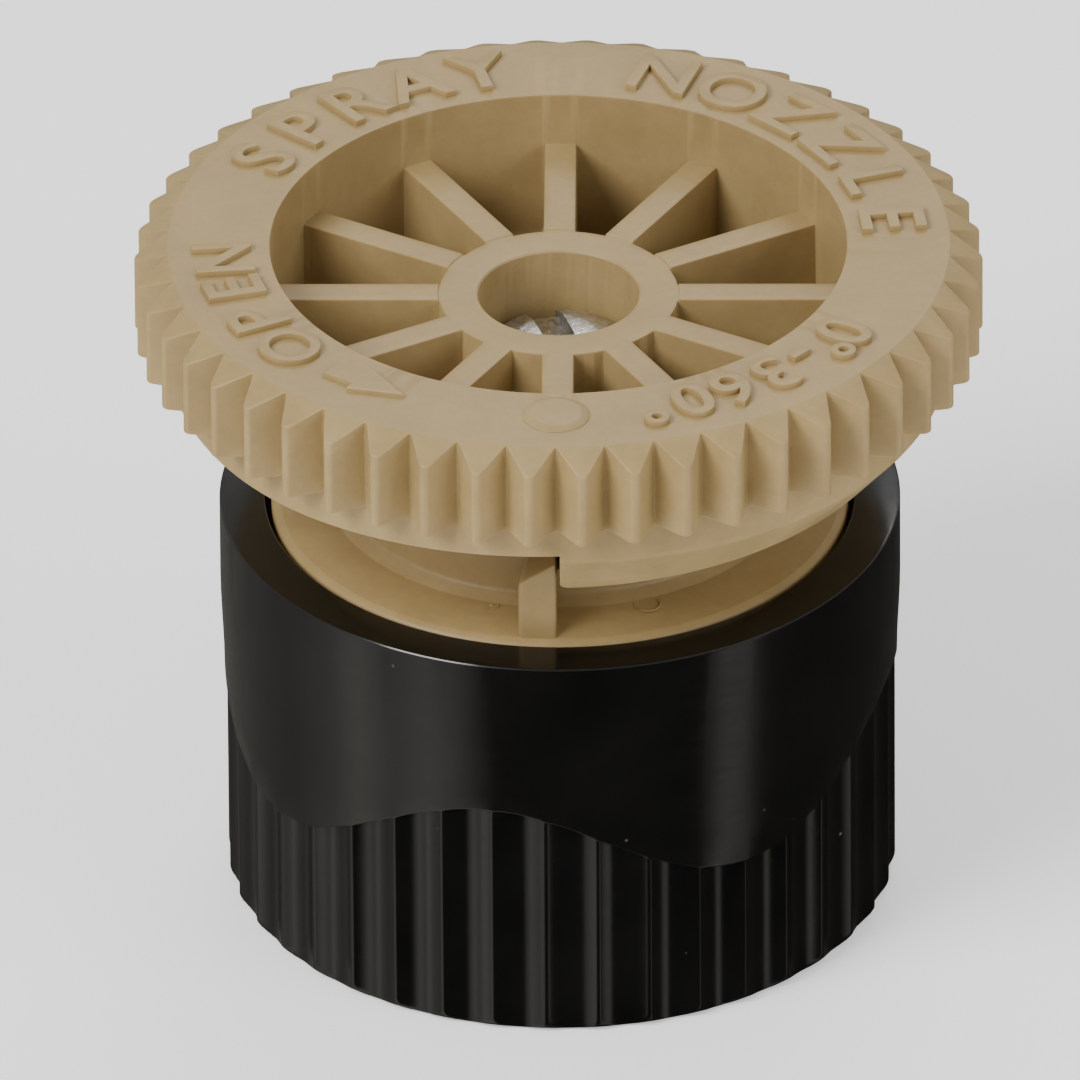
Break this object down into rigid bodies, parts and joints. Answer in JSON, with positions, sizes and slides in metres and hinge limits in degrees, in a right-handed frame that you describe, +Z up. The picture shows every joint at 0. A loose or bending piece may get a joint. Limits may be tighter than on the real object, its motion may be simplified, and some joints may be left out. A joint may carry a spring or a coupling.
{
  "type": "adjustable arc spray nozzle",
  "caption": "Adjustable-arc spray nozzle for a pop-up sprinkler riser: toothed collar sets the arc, slotted screw sets the flow, female thread below.",
  "frame": {"origin": "centre of the base's bottom rim", "axes": "+Z up along the nozzle's axis, -Y towards the closed end of the spray arc"},
  "size_m": [0.0306, 0.0306, 0.0264],
  "materials": {
    "tan_plastic": "moulded acetal, satin",
    "base_black": "moulded, glossy",
    "plug_black": "moulded, satin",
    "rubber": "moulded, matt",
    "stainless": "turned, lightly scratched"
  },
  "bodies": {
    "body": {"nozzle_base": "base_black", "riser_gasket": "rubber", "arc_seat": "tan_plastic", "center_post": "tan_plastic", "screw_o_ring": "rubber"},
    "collar_lift": {"collar_o_ring": "rubber"},
    "collar": {"arc_collar": "tan_plastic"},
    "screw": {"flow_screw": "stainless", "screw_retainer": "stainless"},
    "throttle": {"throttle_plug": "plug_black"}
  },
  "joints": [
    {"name": "collar_rise", "type": "slide", "parent": "body", "child": "collar_lift", "axis": [0, 0, 1], "range_m": [0, 0.0025]},
    {"name": "collar_turn", "type": "hinge", "parent": "collar_lift", "child": "collar", "pos_m": [0, 0, 0.02], "axis": [0, 0, 1], "range_deg": [0, 360]},
    {"name": "screw_turn", "type": "hinge", "parent": "body", "child": "screw", "pos_m": [0, 0, 0.02], "axis": [0, 0, 1], "range_deg": [-720, 0]},
    {"name": "throttle_travel", "type": "slide", "parent": "body", "child": "throttle", "axis": [0, 0, 1], "range_m": [0, 0.0016]}
  ],
  "couplings": [
    {"joint": "collar_turn", "follows": "collar_rise", "rad_per_m": 2513.3},
    {"joint": "screw_turn", "follows": "throttle_travel", "rad_per_m": -7853.9}
  ]
}
